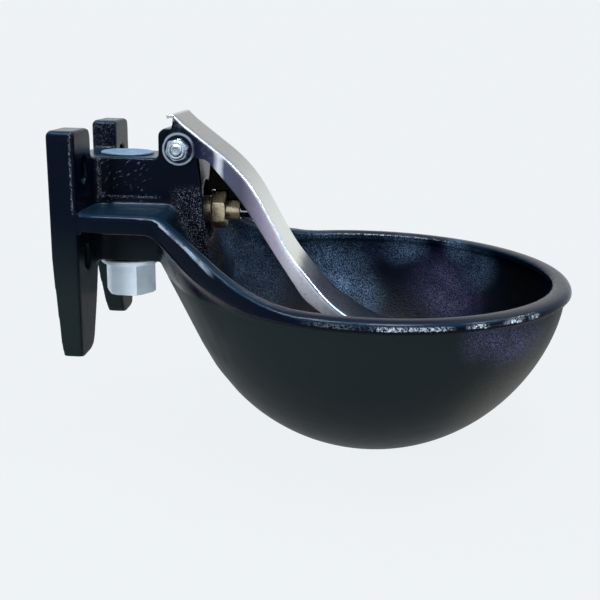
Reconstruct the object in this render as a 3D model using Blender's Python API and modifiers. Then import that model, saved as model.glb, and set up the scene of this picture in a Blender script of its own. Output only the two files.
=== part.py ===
"""Cattle drinking bowl: enamelled iron casting, push paddle and brass water valve.

X runs out from the wall, Y along the wall and Z up. The origin lies on the wall plane,
on the bowl's middle plane, level with the top of the casting's ledge.
Sizes are in millimetres and become metres where geometry is made.
"""

import math

import bmesh
import bpy
from mathutils import Matrix, Vector

MM = 0.001
GAP = 0.3                    # clearance left between touching pieces
CUT_WIDE = 300.0             # width of cutters that pass right through the casting

# Bowl body, a turned shape: radius falls with depth as (1 - u^p)^(1/q)
BOWL_X = 201.5               # distance of the bowl's axis from the wall
BODY_TOP_Z = -50.0
BODY_R = 128.3
BODY_DEPTH = 114.0
BODY_P = 1.67
BODY_Q = 2.1
WALL = 5.5
RIM_R = 132.5
RIM_WIDTH = 13.0
RIM_TOP_Z = -40.5
RIM_LOW_Z = -47.3
CAVITY_R = RIM_R - RIM_WIDTH
FAR_X = BOWL_X + RIM_R + 20.0    # past the rim's front

# Ledge: flat iron shelf round the inlet block, whose edge sweeps down into the rim
LEDGE_END_X = 66.5
LEDGE_HALF = 66.0
LEDGE_THICK = 12.0

# Mounting bars, standing on the wall plane
BAR_THICK = 17.0
BAR_OUT = 65.5
BAR_IN = 29.4
BAR_TOP_Z = 50.0
LEG_LOW_Z = -94.3
SLOT_Y = 45.5
SLOT_WIDTH = 10.0
SLOT_HEIGHT = 16.0
SLOT_HIGH_Z = 24.5
SLOT_LOW_Z = -30.5

# Inlet block with its vertical pipe bore
BLOCK_HALF = 24.2
BLOCK_TOP_Z = 31.2
BLOCK_LOW_Z = -38.0
BLOCK_FRONT_TOP_X = 85.3
BLOCK_FRONT_LOW_X = 92.3
BORE_X = 33.1
BORE_R = 12.3

FILLET_LEG = 5.5             # hollow corner round the block's foot

# Hinge across the top of the block
HINGE_X = 73.2
HINGE_Z = 37.7
HINGE_BORE_R = 4.25
BOLT_R = 4.0

# Plug in the lower port: flange against the block, hexagon below it
PLUG_HEX = 30.6
PLUG_HEX_TURN = 26.0
PLUG_HEX_HEIGHT = 21.3

# Valve, lying along X below the hinge
VALVE_Z = -5.0
VALVE_BORE_R = 10.7
POCKET_R = 19.8
POCKET_X = 78.0
SEAT_X = 68.0
COLLAR_END_X = 91.0
NUT_FACE_X = 92.0
NUT_HEX_END_X = 100.7
NOSE_END_X = 110.4
STEM_END_X = 128.6

# Paddle: pressed stainless channel
PADDLE_HALF = 27.5
PADDLE_SHEET = 2.0
EAR_R = 10.5

# Hexagons, across their flats, and the hinge washers
GLAND_HEX = 22.0
HINGE_HEX = 13.0
WASHER_R = 8.0
HEAD_WASHER = 1.2

AXIS_TURNS = {
    "Z": Matrix.Identity(4),
    "X": Matrix.Rotation(math.radians(90), 4, "Y"),
    "Y": Matrix.Rotation(math.radians(-90), 4, "X"),
}

IRON = ("navy_enamel_on_iron", (0.006, 0.009, 0.022), 0.28, 0.0)
STAINLESS = ("stainless_steel", (0.62, 0.60, 0.57), 0.25, 1.0)
BRASS = ("brass", (0.52, 0.38, 0.16), 0.35, 1.0)
ZINC = ("zinc_plated_steel", (0.60, 0.62, 0.64), 0.30, 1.0)
WHITE_PLASTIC = ("white_plastic", (0.62, 0.70, 0.76), 0.45, 0.0)
BLUE_PLASTIC = ("pale_blue_plastic", (0.30, 0.50, 0.68), 0.50, 0.0)
RUBBER = ("black_rubber", (0.015, 0.015, 0.016), 0.70, 0.0)
NYLON = ("nylon", (0.55, 0.62, 0.70), 0.50, 0.0)
FIBRE = ("red_fibre", (0.25, 0.06, 0.04), 0.80, 0.0)


for old in list(bpy.data.objects):
    bpy.data.objects.remove(old, do_unlink=True)

parts = bpy.data.collections.new("cattle_drinking_bowl")
cutters = bpy.data.collections.new("cutters")
bpy.context.scene.collection.children.link(parts)
bpy.context.scene.collection.children.link(cutters)


def material(finish):
    """Return the plain shader for a finish, made once."""
    name, colour, roughness, metallic = finish
    if name in bpy.data.materials:
        return bpy.data.materials[name]
    made = bpy.data.materials.new(name)
    made.use_nodes = True
    shader = made.node_tree.nodes["Principled BSDF"]
    shader.inputs["Base Color"].default_value = (*colour, 1.0)
    shader.inputs["Roughness"].default_value = roughness
    shader.inputs["Metallic"].default_value = metallic
    return made


def add_object(name, mesh, finish=None):
    """Put a mesh in the parts collection, or in the cutters when it has no finish."""
    obj = bpy.data.objects.new(name, mesh)
    if finish:
        parts.objects.link(obj)
        mesh.materials.clear()
        mesh.materials.append(material(finish))
    else:
        cutters.objects.link(obj)
        obj.hide_render = True
        obj.display_type = "WIRE"
    return obj


def shade(obj, angle=40.0):
    """Shade round faces smooth and keep the sharp edges."""
    obj.data.shade_smooth()
    obj.data.set_sharp_from_angle(angle=math.radians(angle))


def mesh_of(source, matrix=None):
    """Turn an object into a welded mesh in the part's frame and remove the object."""
    bpy.context.view_layer.update()
    depsgraph = bpy.context.evaluated_depsgraph_get()
    mesh = bpy.data.meshes.new_from_object(source.evaluated_get(depsgraph))
    mesh.transform(matrix @ source.matrix_world if matrix else source.matrix_world)
    work = bmesh.new()
    work.from_mesh(mesh)
    bmesh.ops.remove_doubles(work, verts=work.verts, dist=1e-6)
    bmesh.ops.recalc_face_normals(work, faces=work.faces)
    work.to_mesh(mesh)
    work.free()
    bpy.data.objects.remove(source, do_unlink=True)
    return mesh


def curve_object(name, curve):
    obj = bpy.data.objects.new(name, curve)
    bpy.context.scene.collection.objects.link(obj)
    return obj


def outline_plate(name, loops, thickness, plane, centre=0.0, finish=None):
    """Flat plate from closed outlines, extruded square to the XY, XZ or YZ plane."""
    curve = bpy.data.curves.new(name, "CURVE")
    curve.dimensions = "2D"
    curve.fill_mode = "BOTH"
    curve.extrude = thickness / 2 * MM
    for loop in loops:
        spline = curve.splines.new("POLY")
        spline.points.add(len(loop) - 1)
        spline.use_cyclic_u = True
        for point, (a, b) in zip(spline.points, loop):
            point.co = (a * MM, b * MM, 0.0, 1.0)
    obj = curve_object(name, curve)
    turn = {
        "XY": (Matrix.Identity(4), Vector((0, 0, 1))),
        "XZ": (Matrix.Rotation(math.radians(90), 4, "X"), Vector((0, 1, 0))),
        "YZ": (Matrix(((0, 0, 1, 0), (1, 0, 0, 0), (0, 1, 0, 0), (0, 0, 0, 1))), Vector((1, 0, 0))),
    }
    rotation, normal = turn[plane]
    shift = Matrix.Translation(normal * centre * MM)
    return add_object(name, mesh_of(obj, shift @ rotation), finish)


def turned(name, profile, axis, origin, steps, finish=None, closed=False):
    """Turn a profile of (radius, height) points round the X, Y or Z axis through origin."""
    mesh = bpy.data.meshes.new(name)
    points = [(r * MM, 0.0, h * MM) for r, h in profile]
    edges = [(i, i + 1) for i in range(len(points) - 1)]
    if closed:
        edges.append((len(points) - 1, 0))
    mesh.from_pydata(points, edges, [])
    obj = curve_object(name, mesh)
    screw = obj.modifiers.new("turn", "SCREW")
    screw.axis = "Z"
    screw.steps = steps
    screw.render_steps = steps
    screw.use_merge_vertices = True
    screw.merge_threshold = 1e-6
    screw.use_normal_calculate = True
    place = Matrix.Translation(Vector(origin) * MM) @ AXIS_TURNS[axis]
    made = add_object(name, mesh_of(obj, place), finish)
    if finish:
        shade(made)
    return made


def rod(name, radius, start, end, axis, origin, steps=32, finish=None, sides_at=0.0):
    """Plain cylinder along an axis; six sides make it a hexagon bar."""
    work = bmesh.new()
    bmesh.ops.create_cone(work, cap_ends=True, segments=steps, radius1=radius * MM,
                          radius2=radius * MM, depth=(end - start) * MM)
    mesh = bpy.data.meshes.new(name)
    work.to_mesh(mesh)
    work.free()
    along = Matrix.Translation((0, 0, (start + end) / 2 * MM))
    spin = Matrix.Rotation(math.radians(sides_at), 4, "Z")
    mesh.transform(Matrix.Translation(Vector(origin) * MM) @ AXIS_TURNS[axis] @ along @ spin)
    return add_object(name, mesh, finish)


def hull(name, points):
    """Convex body round a cloud of points."""
    work = bmesh.new()
    for point in points:
        work.verts.new(Vector(point) * MM)
    result = bmesh.ops.convex_hull(work, input=work.verts)
    loose = [item for item in result["geom_interior"] if isinstance(item, bmesh.types.BMVert)]
    bmesh.ops.delete(work, geom=loose, context="VERTS")
    bmesh.ops.recalc_face_normals(work, faces=work.faces)
    mesh = bpy.data.meshes.new(name)
    work.to_mesh(mesh)
    work.free()
    return add_object(name, mesh)


def combine(target, tool, operation):
    """Add a Boolean modifier and bake it into the target's mesh."""
    step = target.modifiers.new(tool.name, "BOOLEAN")
    step.operation = operation
    step.solver = "EXACT"
    step.object = tool
    bpy.context.view_layer.update()
    depsgraph = bpy.context.evaluated_depsgraph_get()
    result = bpy.data.meshes.new_from_object(target.evaluated_get(depsgraph))
    target.modifiers.clear()
    target.data = result


def round_edges(obj, width, segments=2, angle=35.0):
    """Round an object's sharp edges and bake the result."""
    bevel = obj.modifiers.new("round", "BEVEL")
    bevel.width = width * MM
    bevel.segments = segments
    bevel.limit_method = "ANGLE"
    bevel.angle_limit = math.radians(angle)
    bpy.context.view_layer.update()
    depsgraph = bpy.context.evaluated_depsgraph_get()
    result = bpy.data.meshes.new_from_object(obj.evaluated_get(depsgraph))
    obj.modifiers.clear()
    obj.data = result


def soft_corners(points, reach, steps=5, closed=False):
    """Replace each inner corner with a curve that starts reach before it."""
    count = len(points)
    result = []
    for i, corner in enumerate(points):
        length = reach[i] if isinstance(reach, (list, tuple)) else reach
        if length == 0 or (not closed and i in (0, count - 1)):
            result.append(tuple(corner))
            continue
        here = Vector(corner)
        before = here + (Vector(points[i - 1]) - here).normalized() * length
        after = here + (Vector(points[(i + 1) % count]) - here).normalized() * length
        for k in range(steps + 1):
            t = k / steps
            point = before * (1 - t) ** 2 + here * 2 * t * (1 - t) + after * t ** 2
            result.append(tuple(point))
    return result


def offset_line(points, distance):
    """Line parallel to an open line, on its right-hand side when distance is positive."""
    result = []
    for i, point in enumerate(points):
        before = Vector(points[max(i - 1, 0)])
        after = Vector(points[min(i + 1, len(points) - 1)])
        along = (after - before).normalized()
        result.append((point[0] + along.y * distance, point[1] - along.x * distance))
    return result


def arc(centre, radius, start, end, steps):
    """Points of an arc, angles in degrees."""
    points = []
    for k in range(steps + 1):
        angle = math.radians(start + (end - start) * k / steps)
        points.append((centre[0] + radius * math.cos(angle), centre[1] + radius * math.sin(angle)))
    return points


def body_radius(z, inset=0.0):
    """Radius of the bowl's wall at a height; inset gives the inner face."""
    depth = (BODY_TOP_Z - z) / (BODY_DEPTH - inset)
    if depth <= 0:
        return BODY_R - inset
    return (BODY_R - inset) * max(1 - depth ** BODY_P, 0.0) ** (1 / BODY_Q)


def bowl_rings(inset, top_z, rings=9, around=60):
    """Rings of points over a bowl surface, closer together near its bottom."""
    low = BODY_TOP_Z - (BODY_DEPTH - inset)
    points = [(BOWL_X, 0.0, low)]
    for k in range(1, rings + 1):
        z = BODY_TOP_Z + (low - BODY_TOP_Z) * math.sin(math.pi / 2 * k / (rings + 0.5))
        radius = body_radius(z, inset)
        for j in range(around):
            angle = 2 * math.pi * (j + 0.5) / around
            points.append((BOWL_X + radius * math.cos(angle), radius * math.sin(angle), z))
    for z in (BODY_TOP_Z, top_z):
        radius = BODY_R - inset
        for j in range(around):
            angle = 2 * math.pi * (j + 0.5) / around
            points.append((BOWL_X + radius * math.cos(angle), radius * math.sin(angle), z))
    return points


def rim_path(bar_half, half, radius, steps=45):
    """Plan line of the ledge's side, the flare and the round rim, from bar to bar."""
    corner = Vector((LEDGE_END_X, -half))
    to_centre = math.atan2(half, BOWL_X - LEDGE_END_X)
    lean = to_centre - math.asin(radius / math.hypot(BOWL_X - LEDGE_END_X, half))
    first = math.degrees(lean) - 90
    ring = arc((BOWL_X, 0.0), radius, first, -first, steps)
    touch = Vector(ring[0])
    side = [(8.0, -bar_half), (BAR_THICK + 0.4, -bar_half), (BAR_THICK + 8.0, -half),
            (LEDGE_END_X - 9.0, -half), (LEDGE_END_X - 6.0, -half)]
    turn = soft_corners([side[-1], corner, touch], 4.0, steps=4)[1:-1]
    flare = [tuple(corner.lerp(touch, k / 9)) for k in range(1, 9)]
    near = side + turn + flare
    return near + ring + [(x, -y) for x, y in reversed(near)]


def rim_top_line():
    """Side view of the ledge top, the slope and the rim top."""
    points = [(-5.0, 0.0), (LEDGE_END_X, 0.0), (LEDGE_END_X + 67.0, RIM_TOP_Z), (FAR_X, RIM_TOP_Z)]
    return soft_corners(points, (0, 5.0, 27.0, 0), steps=7)


def rim_low_line():
    """Side view of the underside of the ledge, the slope and the rim."""
    points = [(-5.0, -LEDGE_THICK), (LEDGE_END_X - 4.5, -LEDGE_THICK),
              (LEDGE_END_X + 36.5, RIM_LOW_Z), (FAR_X, RIM_LOW_Z)]
    return soft_corners(points, (0, 4.0, 34.0, 0), steps=7)


def height_on(line, x):
    """Height of a side-view line at a distance from the wall."""
    for (x0, z0), (x1, z1) in zip(line, line[1:]):
        if x0 <= x <= x1 and x1 > x0:
            return z0 + (z1 - z0) * (x - x0) / (x1 - x0)
    return line[-1][1]


def strip_object(name, verts, faces):
    """Closed object from a swept section's points and faces, with its faces turned outward."""
    mesh = bpy.data.meshes.new(name)
    mesh.from_pydata(verts, [], faces)
    work = bmesh.new()
    work.from_mesh(mesh)
    bmesh.ops.recalc_face_normals(work, faces=work.faces)
    work.to_mesh(mesh)
    work.free()
    return add_object(name, mesh)


def swept_rim(name):
    """Rolled rim and ledge sides: a rounded section carried along the plan line."""
    top_line, low_line = rim_top_line(), rim_low_line()
    outer = rim_path(BAR_OUT - 1.6, LEDGE_HALF, RIM_R)
    inner = rim_path(BAR_OUT - 14.0, LEDGE_HALF - RIM_WIDTH, CAVITY_R)
    rounded = ((1.0, 0.0), (0.29, 0.29), (0.0, 1.0))
    chamfer = ((0.0, 1.0), (1.0, 0.0))
    section = 2 * (len(rounded) + len(chamfer))
    verts, faces = [], []
    for (ox, oy), (ix, iy) in zip(outer, inner):
        out_edge, in_edge = Vector((ox, oy)), Vector((ix, iy))
        across = (out_edge - in_edge).normalized()
        inner_size = min(max((ix - LEDGE_END_X + 2.0) / 10.0, 0.02), 1.0)
        for edge, side, size in ((out_edge, -1, 1.0), (in_edge, 1, inner_size)):
            loop = []
            for line, form, reach in ((top_line, rounded, -2.9 * size), (low_line, chamfer, 1.6 * size)):
                for back, drop in form:
                    spot = edge + across * side * abs(reach) * back
                    loop.append((spot.x, spot.y, height_on(line, spot.x) + reach * drop))
            verts += [Vector(p) * MM for p in (loop if side < 0 else reversed(loop))]
    for i in range(len(outer) - 1):
        for j in range(section):
            k = (j + 1) % section
            a, b = i * section, (i + 1) * section
            faces.append((a + j, a + k, b + k, b + j))
    last = (len(outer) - 1) * section
    faces.append(tuple(reversed(range(section))))
    faces.append(tuple(range(last, last + section)))
    return strip_object(name, verts, faces)


def hexagon(across_flats):
    """Corner radius of a hexagon."""
    return across_flats / math.sqrt(3)


def throat_line(steps):
    """Side view of the ledge top and the ramp that runs from it down into the bowl."""
    return soft_corners([(28.0, -0.3), (LEDGE_END_X + 2.0, -0.4), (86.0, -32.0), (95.5, -48.0),
                         (98.5, -95.0)], (0, 5.0, 6.0, 8.0, 0), steps)


def block_fillet(name, side):
    """Hollow-cornered strip where the block's side meets the ledge and the ramp."""
    line = [Vector(point) for point in throat_line(5) if point[1] > -43.0]
    foot = BLOCK_HALF - 0.4
    section = 6
    verts, faces = [], []
    for i, point in enumerate(line):
        along = (line[min(i + 1, len(line) - 1)] - line[max(i - 1, 0)]).normalized()
        out = Vector((-along.y, along.x))
        leg = FILLET_LEG * min(max((point.y + 42.0) / 22.0, 0.08), 1.0)
        for reach, height in ((foot, -1.2), (BLOCK_HALF + leg, -1.2), (BLOCK_HALF + leg, -0.25),
                              (BLOCK_HALF + 0.33 * leg, 0.2 * leg),
                              (BLOCK_HALF + 0.06 * leg, 0.56 * leg), (foot, leg)):
            spot = point + out * height
            verts.append(Vector((spot.x, side * reach, spot.y)) * MM)
    for i in range(len(line) - 1):
        for j in range(section):
            k = (j + 1) % section
            a, b = i * section, (i + 1) * section
            faces.append((a + j, a + k, b + k, b + j))
    last = (len(line) - 1) * section
    faces += [tuple(reversed(range(section))), tuple(range(last, last + section))]
    return strip_object(name, verts, faces)


def neck_points(inset):
    """Points where the bowl's body meets the block and the underside of the ledge."""
    points = [(58.5 + inset, side * (23.0 - inset), BLOCK_LOW_Z + 1.3 + inset) for side in (-1, 1)]
    return points + [(LEDGE_END_X - 2.5, side * (60.0 - inset), z)
                     for side in (-1, 1) for z in (inset - 8.0, -4.0)]


def make_casting():
    """One iron casting: bowl, rim, ledge, block, hinge boss and the two mounting bars."""

    # Outer body: the bowl drawn up to the underside of the ledge, below the rim's top line
    casting = hull("bowl_body", bowl_rings(0.0, RIM_LOW_Z + 2.6) + neck_points(0.0))
    above = offset_line(rim_top_line(), 3.5)
    roof = outline_plate("space_over_rim", [above + [(FAR_X, 40.0), (-5.0, 40.0)]], CUT_WIDE, "XZ")
    combine(casting, roof, "DIFFERENCE")

    # Inside of the bowl, opened towards the ledge
    mouth = [(LEDGE_END_X + 1.0, side * (LEDGE_HALF - RIM_WIDTH), z)
             for side in (-1, 1) for z in (-2.0, 12.0)]
    inside = [(BOWL_X + (CAVITY_R + 0.4) * math.cos(math.radians(a)),
               (CAVITY_R + 0.4) * math.sin(math.radians(a)), z)
              for a in range(0, 360, 5) for z in (RIM_LOW_Z, 12.0)]
    cavity = hull("bowl_inside", bowl_rings(WALL, BODY_TOP_Z + 1.0) + inside + mouth)
    combine(casting, cavity, "DIFFERENCE")

    # Rolled rim with the ledge's sides, and the flat middle of the ledge
    combine(casting, swept_rim("rolled_rim"), "UNION")
    middle = LEDGE_HALF - RIM_WIDTH + 2.0
    flat = [(8.6, -0.2), (LEDGE_END_X - 1.0, -0.2), (LEDGE_END_X - 1.0, 0.5 - LEDGE_THICK),
            (8.6, 0.5 - LEDGE_THICK)]
    combine(casting, outline_plate("ledge_middle", [flat], 2 * middle, "XZ"), "UNION")

    # Ramp from the ledge down into the bowl, beside the block
    slope = [(56.0, -30.0), (56.0, -0.4)] + [p for p in throat_line(4) if p[0] > 56.0] + [(88.0, -95.0)]
    ramp = outline_plate("throat_ramp", [slope], CUT_WIDE, "XZ")
    above = [(x, side * (middle - 0.7), 6.0) for x in (60.0, 73.0) for side in (-1, 1)]
    combine(ramp, hull("ramp_envelope", bowl_rings(1.5, RIM_LOW_Z + 2.6) + neck_points(1.5) + above),
            "INTERSECT")
    combine(casting, ramp, "UNION")

    # Inlet block with the hinge boss on its front
    block_side = [(2.0, BLOCK_TOP_Z), (59.0, BLOCK_TOP_Z), (59.0, 47.0), (62.0, 50.0),
                  (68.0, 50.3), (73.0, 50.6), (79.0, 48.2), (BLOCK_FRONT_TOP_X, 41.5),
                  (BLOCK_FRONT_TOP_X, BLOCK_TOP_Z), (BLOCK_FRONT_LOW_X, -39.5),
                  (96.2, -90.0), (102.5, -112.0), (97.0, -109.0), (70.0, -60.0),
                  (60.0, BLOCK_LOW_Z), (2.0, BLOCK_LOW_Z)]
    block = outline_plate("inlet_block", [block_side], 2 * BLOCK_HALF, "XZ")
    round_edges(block, 1.6, 1, 50.0)
    for side in (-1, 1):
        combine(block, block_fillet("block_fillet", side), "UNION")

    # Back web with its hollow corners, and the two slotted bars
    corner = soft_corners([(BAR_THICK - 0.2, -36.0), (BAR_THICK - 0.2, 0.2 - BLOCK_HALF),
                           (BAR_THICK + 13.0, 0.2 - BLOCK_HALF)], 11.5, steps=5)
    plan = [(0.7, -36.0)] + corner + [(x, -y) for x, y in reversed(corner)] + [(0.7, 36.0)]
    web_low, web_top = BLOCK_LOW_Z + 0.6, BLOCK_TOP_Z - 0.4
    web = outline_plate("back_web", [plan], web_top - web_low, "XY", (web_top + web_low) / 2)
    combine(block, web, "UNION")
    combine(casting, block, "UNION")
    for side in (-1, 1):
        bar_face = [(BAR_IN, BAR_TOP_Z), (BAR_OUT, BAR_TOP_Z), (BAR_OUT, LEG_LOW_Z),
                    (38.0, LEG_LOW_Z), (27.6, -65.0), (21.0, -40.0), (21.0, -6.0), (BAR_IN, -6.0)]
        reach = (4.5, 4.5, 6.0, 7.0, 8.0, 6.0, 0, 0)
        face = [(side * y, z) for y, z in soft_corners(bar_face, reach, steps=2, closed=True)]
        bar = outline_plate("mounting_bar", [face], BAR_THICK, "YZ", BAR_THICK / 2)
        round_edges(bar, 1.0, 1, 60.0)
        combine(casting, bar, "UNION")

    # Back of the legs leans off the wall
    relief = outline_plate("leg_relief", [[(-4.0, -30.0), (0.0, -30.0), (4.8, -100.0), (-4.0, -100.0)]],
                           CUT_WIDE, "XZ")
    combine(casting, relief, "DIFFERENCE")

    # Bolt slots
    for side in (-1, 1):
        for z in (SLOT_HIGH_Z, SLOT_LOW_Z):
            half = (SLOT_HEIGHT - SLOT_WIDTH) / 2
            loop = arc((side * SLOT_Y, z + half), SLOT_WIDTH / 2, 0, 180, 6)
            loop += arc((side * SLOT_Y, z - half), SLOT_WIDTH / 2, 180, 360, 6)
            slot = outline_plate("bolt_slot", [loop], 40.0, "YZ", 8.0)
            combine(casting, slot, "DIFFERENCE")

    # Pipe bore, hinge bore, valve bore and the pocket round the valve
    combine(casting, rod("pipe_bore", BORE_R, -60.0, 60.0, "Z", (BORE_X, 0, 0), 36), "DIFFERENCE")
    combine(casting, rod("hinge_bore", HINGE_BORE_R, -60.0, 60.0, "Y", (HINGE_X, 0, HINGE_Z), 24),
            "DIFFERENCE")
    combine(casting, rod("valve_bore", VALVE_BORE_R, BORE_X, 120.0, "X", (0, 0, VALVE_Z), 32),
            "DIFFERENCE")
    combine(casting, rod("valve_pocket", POCKET_R, POCKET_X, 120.0, "X", (0, 0, VALVE_Z), 40),
            "DIFFERENCE")

    casting.name = "bowl_casting"
    cutters.objects.unlink(casting)
    parts.objects.link(casting)
    casting.hide_render = False
    casting.display_type = "TEXTURED"
    casting.data.materials.clear()
    casting.data.materials.append(material(IRON))
    shade(casting)
    return casting


def make_inlet_fittings():
    """Flat push-in cap over the inlet and the hexagon plug in the lower port."""
    cap = [(0.0, BLOCK_TOP_Z + 1.5), (16.9, BLOCK_TOP_Z + 1.5), (17.6, BLOCK_TOP_Z + 1.0),
           (17.6, BLOCK_TOP_Z + GAP), (BORE_R - GAP, BLOCK_TOP_Z + GAP), (BORE_R - 0.8, 20.0),
           (BORE_R - 2.0, 20.0), (BORE_R - 2.0, BLOCK_TOP_Z - 0.5), (0.0, BLOCK_TOP_Z - 0.5)]
    turned("inlet_cap", cap, "Z", (BORE_X, 0, 0), 28, BLUE_PLASTIC)

    seal_top = BLOCK_LOW_Z - GAP
    seal = [(13.0, seal_top), (17.5, seal_top), (17.5, seal_top - 1.6), (13.0, seal_top - 1.6)]
    turned("plug_seal", seal, "Z", (BORE_X, 0, 0), 28, RUBBER, closed=True)

    flange_top = seal_top - 1.6 - GAP
    flange_low = flange_top - 3.0
    body = [(0.0, -26.0), (10.9, -26.0), (BORE_R - GAP, -27.0), (BORE_R - GAP, flange_top),
            (19.6, flange_top), (20.0, flange_top - 0.6), (20.0, flange_low + 0.5),
            (19.4, flange_low), (0.0, flange_low)]
    plug = turned("blanking_plug", body, "Z", (BORE_X, 0, 0), 28, WHITE_PLASTIC)
    head_low = flange_low - PLUG_HEX_HEIGHT
    head = rod("plug_head", hexagon(PLUG_HEX), head_low, flange_low + 1.0, "Z", (BORE_X, 0, 0), 6,
               sides_at=PLUG_HEX_TURN)
    crown = [(0.0, flange_low + 2.0), (18.3, flange_low + 2.0), (18.3, head_low + 1.6),
             (15.7, head_low), (0.0, head_low)]
    combine(head, turned("plug_crown", crown, "Z", (BORE_X, 0, 0), 28), "INTERSECT")
    combine(plug, head, "UNION")
    shade(plug)


def make_valve():
    """Brass valve screwed into the block, with its spring-loaded stem."""
    axis = (0, 0, VALVE_Z)

    # Body: threaded shank, collar, water way and two outlet holes
    shank = [(6.6, SEAT_X), (7.6, SEAT_X - 0.8), (10.0, SEAT_X), (VALVE_BORE_R - GAP, SEAT_X + 1.0),
             (VALVE_BORE_R - GAP, POCKET_X + 1.0), (9.5, POCKET_X + 2.0), (9.5, COLLAR_END_X),
             (7.9, COLLAR_END_X), (7.9, 84.0), (6.6, 84.0)]
    body = turned("valve_body", shank, "X", axis, 24, BRASS, closed=True)
    for turn in (-1, 1):
        hole = rod("outlet_hole", 2.4, 2.0, 14.0, "Z", (0, 0, 0), 12)
        tilt = Matrix.Rotation(math.radians(180 + 50 * turn), 4, "X")
        hole.data.transform(Matrix.Translation(Vector((81.8, 0, VALVE_Z)) * MM) @ tilt)
        combine(body, hole, "DIFFERENCE")
    shade(body)

    ring = [(8.0, COLLAR_END_X + GAP), (10.4, COLLAR_END_X + GAP), (10.4, NUT_FACE_X - GAP),
            (8.0, NUT_FACE_X - GAP)]
    turned("valve_gasket", ring, "X", axis, 24, FIBRE, closed=True)

    # Gland nut: hexagon and nose, bored for the stem and for its seal ring
    outer = [(0.0, 85.0), (7.6, 85.0), (7.6, NUT_FACE_X), (10.6, NUT_FACE_X), (10.6, NUT_HEX_END_X),
             (6.9, NUT_HEX_END_X), (6.7, NUT_HEX_END_X + 0.6), (6.7, NOSE_END_X - 0.7),
             (6.0, NOSE_END_X), (0.0, NOSE_END_X)]
    nut = turned("gland_nut", outer, "X", axis, 24, BRASS)
    head = rod("gland_hexagon", hexagon(GLAND_HEX), NUT_FACE_X, NUT_HEX_END_X, "X", axis, 6, sides_at=0.0)
    crown = [(0.0, NUT_FACE_X - 1.0), (11.6, NUT_FACE_X - 1.0), (12.8, NUT_FACE_X + 0.8),
             (12.8, NUT_HEX_END_X - 1.2), (11.2, NUT_HEX_END_X + 0.5), (0.0, NUT_HEX_END_X + 0.5)]
    combine(head, turned("gland_crown", crown, "X", axis, 24), "INTERSECT")
    combine(nut, head, "UNION")
    bore = [(0.0, 80.0), (5.1, 80.0), (5.1, 96.4), (7.2, 96.4), (7.2, 99.0), (5.1, 99.0),
            (5.1, 120.0), (0.0, 120.0)]
    combine(nut, turned("gland_bore", bore, "X", axis, 20), "DIFFERENCE")
    shade(nut)

    # Stem with its inner plunger and rubber seal, which closes against the seat
    stem = [(0.0, 60.4), (2.6, 60.4), (3.0, 60.8), (3.0, 88.0), (4.2, 90.0), (4.8, 90.6),
            (4.8, STEM_END_X - 2.2), (3.4, STEM_END_X - 0.5), (0.0, STEM_END_X)]
    turned("valve_stem", stem, "X", axis, 24, STAINLESS)
    o_ring = [(6.05 + 0.9 * math.cos(a), 97.7 + 0.9 * math.sin(a))
              for a in (2 * math.pi * k / 8 for k in range(8))]
    turned("stem_seal_ring", o_ring, "X", axis, 20, RUBBER, closed=True)
    seal = [(3.3, SEAT_X - 1.2), (8.4, SEAT_X - 1.2), (8.4, SEAT_X - 3.6), (3.3, SEAT_X - 3.6)]
    turned("valve_seal", seal, "X", axis, 20, RUBBER, closed=True)
    plunger = [(3.3, SEAT_X - 3.9), (8.6, SEAT_X - 3.9), (8.6, SEAT_X - 5.6), (4.9, SEAT_X - 5.6),
               (4.5, SEAT_X - 8.6), (3.3, SEAT_X - 8.6)]
    turned("valve_plunger", plunger, "X", axis, 20, BRASS, closed=True)

    # Spring between the plunger and its pressed-in retainer
    retainer = [(3.0, 46.8), (VALVE_BORE_R - GAP, 46.8), (VALVE_BORE_R - GAP, 48.2), (3.0, 48.2)]
    plate = turned("spring_retainer", retainer, "X", axis, 28, STAINLESS, closed=True)
    for k in range(6):
        angle = math.radians(60 * k)
        centre = (0, 7.0 * math.cos(angle), VALVE_Z + 7.0 * math.sin(angle))
        combine(plate, rod("water_hole", 1.7, 44.0, 50.0, "X", centre, 10), "DIFFERENCE")
    coil_start = 49.1
    coil_end = SEAT_X - 6.6
    turns = 4.5
    coil = bpy.data.curves.new("valve_spring", "CURVE")
    coil.dimensions = "3D"
    coil.bevel_depth = 0.55 * MM
    coil.bevel_resolution = 1
    coil.use_fill_caps = True
    spline = coil.splines.new("POLY")
    count = int(turns * 9)
    spline.points.add(count)
    for k, point in enumerate(spline.points):
        angle = 2 * math.pi * turns * k / count
        x = coil_start + (coil_end - coil_start) * k / count
        point.co = (x * MM, 6.6 * math.cos(angle) * MM,
                    (VALVE_Z + 6.6 * math.sin(angle)) * MM, 1.0)
    spring = add_object("valve_spring", mesh_of(curve_object("spring_wire", coil)), STAINLESS)
    shade(spring, 60.0)


def paddle_line():
    """Side view of the paddle's outer face, from its curled lip to the tip in the bowl."""
    points = [(65.6, 58.6), (69.5, 60.4), (76.6, 53.9), (116.7, 23.6), (147.5, -30.3),
              (173.8, -61.4), (204.0, -81.2), (229.0, -88.5)]
    return soft_corners(points, (0, 3.5, 2.0, 20.0, 10.0, 12.0, 12.0, 0), steps=5)


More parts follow.
